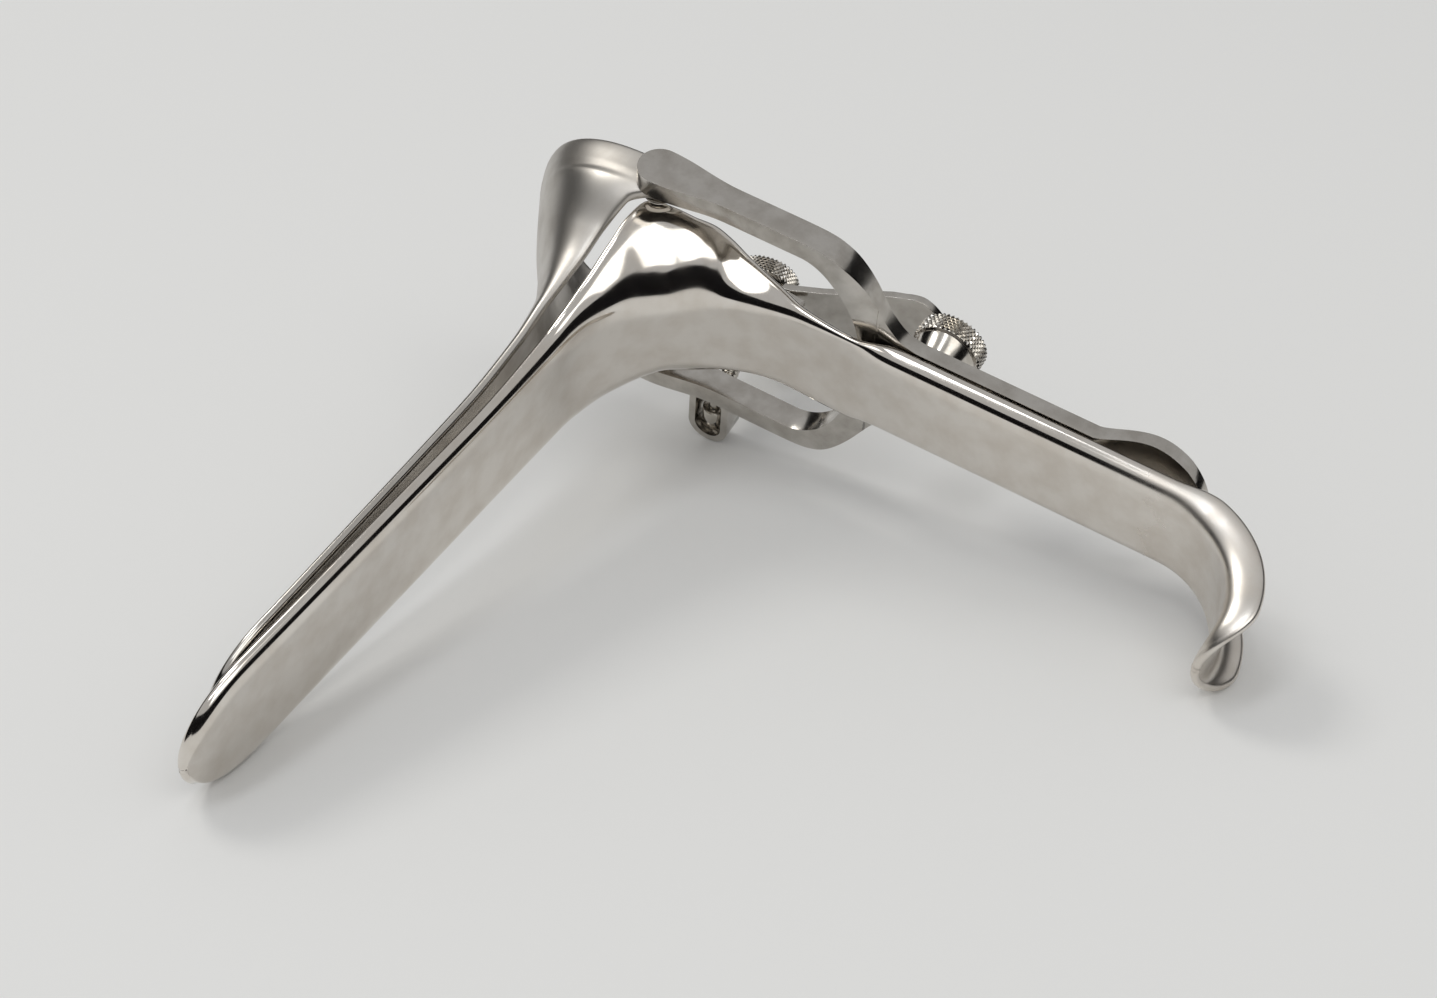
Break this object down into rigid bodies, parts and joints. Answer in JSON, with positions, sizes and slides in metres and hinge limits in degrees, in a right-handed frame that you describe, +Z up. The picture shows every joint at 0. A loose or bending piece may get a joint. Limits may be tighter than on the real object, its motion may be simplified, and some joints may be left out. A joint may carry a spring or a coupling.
{
  "type": "vaginal speculum",
  "caption": "Bivalve vaginal speculum: channelled lower blade with hooked handle, hinged funnel-shaped upper blade on a sliding yoke, thumb lever with screw stop.",
  "frame": {"origin": "centre of the bounding box at the table plane, instrument lying on its side", "axes": "+X from the blade tips towards the handle and thumb lever (longest extent), +Y towards the upper blade's funnel, +Z up from the table"},
  "size_m": [0.1586, 0.1364, 0.0601],
  "materials": {
    "blade_steel": "mirror polished stainless steel",
    "funnel_steel": "satin stainless steel outside",
    "yoke_steel": "polished stainless steel with satin top",
    "lever_steel": "polished stainless steel",
    "pin_steel": "polished stainless steel",
    "loop_steel": "polished stainless steel",
    "rod_steel": "polished stainless steel",
    "nut_steel": "polished stainless steel with knurled rim"
  },
  "bodies": {
    "handle": {"lower_blade": "blade_steel", "lock_stud": "rod_steel", "lock_washer": "pin_steel"},
    "frame": {"frame_yoke": "yoke_steel", "rod_loop": "loop_steel", "rod_pin": "pin_steel", "pivot_pins": "pin_steel"},
    "upper": {"upper_blade": "funnel_steel", "thumb_lever": "lever_steel"},
    "rod": {"adjusting_rod": "rod_steel"},
    "nut": {"thumb_nut": "nut_steel"},
    "locknut": {"lock_nut": "nut_steel"}
  },
  "joints": [
    {"name": "frame_slide", "type": "slide", "parent": "handle", "child": "frame", "axis": [-0.1405, 0.9692, 0.2023], "range_m": [0, 0.009]},
    {"name": "blade_pivot", "type": "hinge", "parent": "frame", "child": "upper", "pos_m": [0.0328, 0.04325, 0.03583], "axis": [0.2362, 0.2313, -0.9438], "range_deg": [0, 25]},
    {"name": "rod_pivot", "type": "hinge", "parent": "frame", "child": "rod", "pos_m": [0.04157, 0.03843, 0.00569], "axis": [0.2362, 0.2313, -0.9438], "range_deg": [0, 25.12]},
    {"name": "nut_travel", "type": "slide", "parent": "rod", "child": "nut", "axis": [-0.9065, -0.2974, -0.2998], "range_m": [0, 0.0052]},
    {"name": "lock_turn", "type": "hinge", "parent": "handle", "child": "locknut", "pos_m": [0.04335, -0.00264, 0.02722], "axis": [0.9615, 0.0848, 0.2614], "continuous": true}
  ],
  "couplings": [
    {"joint": "rod_pivot", "follows": "blade_pivot", "ratio": 1.0043},
    {"joint": "nut_travel", "follows": "blade_pivot", "m_per_rad": 0.011906}
  ]
}
